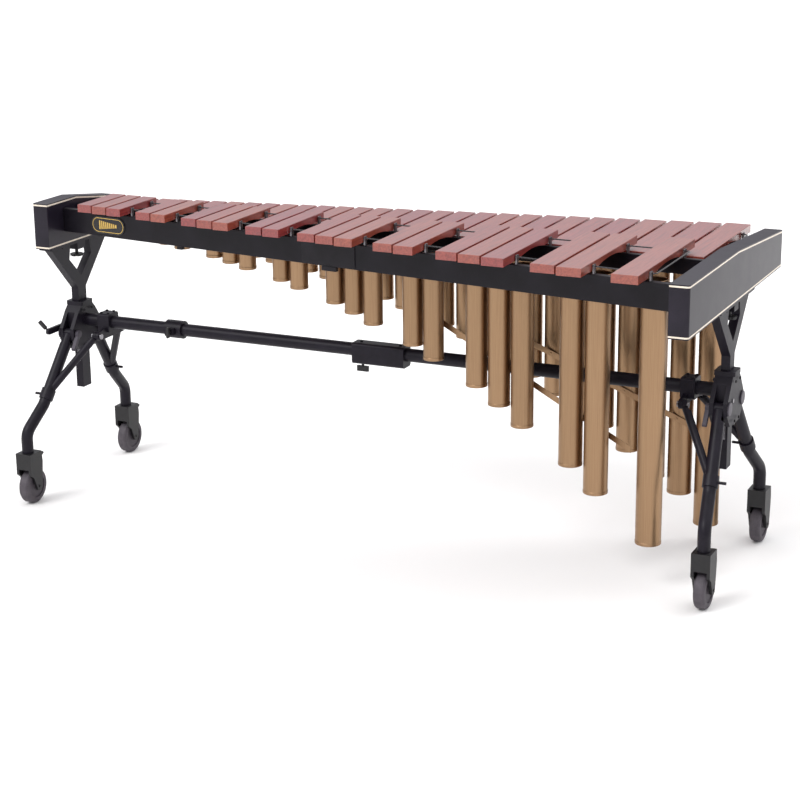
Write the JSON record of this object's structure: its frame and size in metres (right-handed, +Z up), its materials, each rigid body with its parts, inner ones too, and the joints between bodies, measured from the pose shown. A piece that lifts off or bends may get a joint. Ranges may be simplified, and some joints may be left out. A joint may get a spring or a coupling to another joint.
{
  "type": "concert marimba",
  "caption": "Wheeled concert mallet keyboard: tapering wooden bars on cords over gold tube resonators, black end blocks and a crank-lifted folding-leg stand.",
  "frame": {"origin": "on the floor, midway between the end blocks, under the line of the two lift posts", "axes": "+X towards the low notes, +Y from the sharps side to the naturals side where the player stands, +Z up"},
  "size_m": [2.1684, 0.9106, 0.911],
  "materials": {
    "black_enamel": "satin black powder coat on steel and castings",
    "clamp_metal": "grey enamel on cast clamp parts",
    "screw_plastic": "moulded black knobs, levers and grips",
    "block_lacquer": "satin black lacquer on wood",
    "inlay": "ivory coloured binding strip",
    "badge_plate": "black plate with a plain gold outline",
    "rail_lacquer": "satin black lacquer on hardwood rail",
    "rail_fittings": "black enamelled plate and latches",
    "rosewood": "satin oiled rosewood",
    "post_aluminium": "grey anodised posts",
    "cord_fibre": "braided polyester cord",
    "resonator_gold": "champagne gold anodised aluminium",
    "strip_gold": "champagne gold anodised flat bar",
    "rack_steel": "milled steel rack and pinion",
    "caster_cover": "moulded black nylon caster housing",
    "caster_tyre": "grey rubber tyre on a moulded core"
  },
  "bodies": {
    "stand": {"beam_tube_low": "black_enamel", "beam_tube_high": "black_enamel", "beam_sleeve": "black_enamel", "beam_collar": "black_enamel", "hub_low": "black_enamel", "hub_high": "black_enamel", "strut_brackets": "black_enamel", "strut_bolts": "rack_steel"},
    "keyboard": {"fork_low": "black_enamel", "fork_high": "black_enamel", "lift_racks": "rack_steel", "end_block_low": "block_lacquer", "end_block_high": "block_lacquer", "block_inlays": "inlay", "badge": "badge_plate", "near_outer_rail": "rail_lacquer", "far_outer_rail": "rail_lacquer", "inner_rails": "rail_lacquer", "rail_joint_plates": "rail_fittings", "cord_posts": "post_aluminium", "bar_cords": "cord_fibre", "accidental_bars_low": "rosewood", "accidental_bars_high": "rosewood", "natural_bars_low": "rosewood", "natural_bars_high": "rosewood", "accidental_resonators": "resonator_gold", "natural_resonators": "resonator_gold", "resonator_strips": "strip_gold", "resonator_stays": "strip_gold"},
    "block_knob_low": {"block_knob_low": "screw_plastic"},
    "block_knob_high": {"block_knob_high": "screw_plastic"},
    "sleeve_wing_screw": {"sleeve_wing_screw": "screw_plastic"},
    "collar_screw": {"collar_screw": "screw_plastic"},
    "crank": {"crank": "black_enamel"},
    "crank_grip": {"crank_grip": "screw_plastic"},
    "lift_pinion_low": {"lift_pinion_low": "rack_steel"},
    "leg_near_low": {"leg_near_low": "black_enamel", "strut_near_low": "black_enamel"},
    "clamp_near_low": {"leg_clamp_near_low": "clamp_metal"},
    "caster_near_low": {"caster_fork_near_low": "caster_cover"},
    "wheel_near_low": {"caster_wheel_near_low": "caster_tyre"},
    "pedal_near_low": {"brake_pedal_near_low": "caster_cover"},
    "leg_far_low": {"leg_far_low": "black_enamel", "strut_far_low": "black_enamel"},
    "clamp_far_low": {"leg_clamp_far_low": "clamp_metal"},
    "caster_far_low": {"caster_fork_far_low": "caster_cover"},
    "wheel_far_low": {"caster_wheel_far_low": "caster_tyre"},
    "pedal_far_low": {"brake_pedal_far_low": "caster_cover"},
    "leg_near_high": {"leg_near_high": "black_enamel", "strut_near_high": "black_enamel"},
    "clamp_near_high": {"leg_clamp_near_high": "clamp_metal"},
    "caster_near_high": {"caster_fork_near_high": "caster_cover"},
    "wheel_near_high": {"caster_wheel_near_high": "caster_tyre"},
    "pedal_near_high": {"brake_pedal_near_high": "caster_cover"},
    "leg_far_high": {"leg_far_high": "black_enamel", "strut_far_high": "black_enamel"},
    "clamp_far_high": {"leg_clamp_far_high": "clamp_metal"},
    "caster_far_high": {"caster_fork_far_high": "caster_cover"},
    "wheel_far_high": {"caster_wheel_far_high": "caster_tyre"},
    "pedal_far_high": {"brake_pedal_far_high": "caster_cover"}
  },
  "joints": [
    {"name": "height", "type": "slide", "parent": "stand", "child": "keyboard", "axis": [0, 0, 1], "range_m": [-0.038, 0.1]},
    {"name": "crank_turn", "type": "hinge", "parent": "stand", "child": "crank", "pos_m": [-1.05, -0.0288, 0.5], "axis": [1, 0, 0], "range_deg": [-245, 640]},
    {"name": "pinion_turn_low", "type": "hinge", "parent": "stand", "child": "lift_pinion_low", "pos_m": [1.02, -0.0288, 0.5], "axis": [1, 0, 0], "range_deg": [-245, 640]},
    {"name": "crank_grip_spin", "type": "hinge", "parent": "crank", "child": "crank_grip", "pos_m": [-1.0549, -0.1208, 0.5], "axis": [-0.7431, 0, 0.6691], "continuous": true},
    {"name": "block_knob_turn_low", "type": "hinge", "parent": "keyboard", "child": "block_knob_low", "pos_m": [1.02, 0, 0.72], "axis": [0, 0, -1], "range_deg": [0, 720]},
    {"name": "block_knob_turn_high", "type": "hinge", "parent": "keyboard", "child": "block_knob_high", "pos_m": [-1.02, 0, 0.72], "axis": [0, 0, -1], "range_deg": [0, 720]},
    {"name": "sleeve_screw_turn", "type": "hinge", "parent": "stand", "child": "sleeve_wing_screw", "pos_m": [-0.055, 0, 0.47], "axis": [0, 0, -1], "range_deg": [0, 720]},
    {"name": "collar_screw_turn", "type": "hinge", "parent": "stand", "child": "collar_screw", "pos_m": [-0.678, -0.04, 0.517], "axis": [0, -1, 0], "range_deg": [0, 720]},
    {"name": "leg_fold_near_low", "type": "hinge", "parent": "stand", "child": "leg_near_low", "pos_m": [1.02, -0.062, 0.485], "axis": [1, 0, 0], "range_deg": [0, 18]},
    {"name": "leg_clamp_turn_near_low", "type": "hinge", "parent": "stand", "child": "clamp_near_low", "pos_m": [0.99, -0.062, 0.485], "axis": [-1, 0, 0], "range_deg": [0, 60]},
    {"name": "caster_swivel_near_low", "type": "hinge", "parent": "leg_near_low", "child": "caster_near_low", "pos_m": [1.05, -0.272, 0.14], "axis": [0, 0, 1], "continuous": true},
    {"name": "wheel_spin_near_low", "type": "hinge", "parent": "caster_near_low", "child": "wheel_near_low", "pos_m": [1.05, -0.258, 0.053], "axis": [1, 0, 0], "continuous": true},
    {"name": "brake_press_near_low", "type": "hinge", "parent": "caster_near_low", "child": "pedal_near_low", "pos_m": [1.05, -0.25, 0.141], "axis": [-1, 0, 0], "range_deg": [0, 12]},
    {"name": "leg_fold_far_low", "type": "hinge", "parent": "stand", "child": "leg_far_low", "pos_m": [1.02, 0.062, 0.485], "axis": [-1, 0, 0], "range_deg": [0, 18]},
    {"name": "leg_clamp_turn_far_low", "type": "hinge", "parent": "stand", "child": "clamp_far_low", "pos_m": [0.99, 0.062, 0.485], "axis": [1, 0, 0], "range_deg": [0, 60]},
    {"name": "caster_swivel_far_low", "type": "hinge", "parent": "leg_far_low", "child": "caster_far_low", "pos_m": [1.05, 0.272, 0.14], "axis": [0, 0, 1], "continuous": true},
    {"name": "wheel_spin_far_low", "type": "hinge", "parent": "caster_far_low", "child": "wheel_far_low", "pos_m": [1.05, 0.286, 0.053], "axis": [1, 0, 0], "continuous": true},
    {"name": "brake_press_far_low", "type": "hinge", "parent": "caster_far_low", "child": "pedal_far_low", "pos_m": [1.05, 0.294, 0.141], "axis": [-1, 0, 0], "range_deg": [0, 12]},
    {"name": "leg_fold_near_high", "type": "hinge", "parent": "stand", "child": "leg_near_high", "pos_m": [-1.02, -0.062, 0.485], "axis": [1, 0, 0], "range_deg": [0, 18]},
    {"name": "leg_clamp_turn_near_high", "type": "hinge", "parent": "stand", "child": "clamp_near_high", "pos_m": [-0.99, -0.062, 0.485], "axis": [-1, 0, 0], "range_deg": [0, 60]},
    {"name": "caster_swivel_near_high", "type": "hinge", "parent": "leg_near_high", "child": "caster_near_high", "pos_m": [-1.05, -0.272, 0.14], "axis": [0, 0, 1], "continuous": true},
    {"name": "wheel_spin_near_high", "type": "hinge", "parent": "caster_near_high", "child": "wheel_near_high", "pos_m": [-1.05, -0.258, 0.053], "axis": [1, 0, 0], "continuous": true},
    {"name": "brake_press_near_high", "type": "hinge", "parent": "caster_near_high", "child": "pedal_near_high", "pos_m": [-1.05, -0.25, 0.141], "axis": [-1, 0, 0], "range_deg": [0, 12]},
    {"name": "leg_fold_far_high", "type": "hinge", "parent": "stand", "child": "leg_far_high", "pos_m": [-1.02, 0.062, 0.485], "axis": [-1, 0, 0], "range_deg": [0, 18]},
    {"name": "leg_clamp_turn_far_high", "type": "hinge", "parent": "stand", "child": "clamp_far_high", "pos_m": [-0.99, 0.062, 0.485], "axis": [1, 0, 0], "range_deg": [0, 60]},
    {"name": "caster_swivel_far_high", "type": "hinge", "parent": "leg_far_high", "child": "caster_far_high", "pos_m": [-1.05, 0.272, 0.14], "axis": [0, 0, 1], "continuous": true},
    {"name": "wheel_spin_far_high", "type": "hinge", "parent": "caster_far_high", "child": "wheel_far_high", "pos_m": [-1.05, 0.286, 0.053], "axis": [1, 0, 0], "continuous": true},
    {"name": "brake_press_far_high", "type": "hinge", "parent": "caster_far_high", "child": "pedal_far_high", "pos_m": [-1.05, 0.294, 0.141], "axis": [-1, 0, 0], "range_deg": [0, 12]}
  ],
  "couplings": [
    {"joint": "crank_turn", "follows": "height", "rad_per_m": 111.11},
    {"joint": "pinion_turn_low", "follows": "height", "rad_per_m": 111.11}
  ]
}
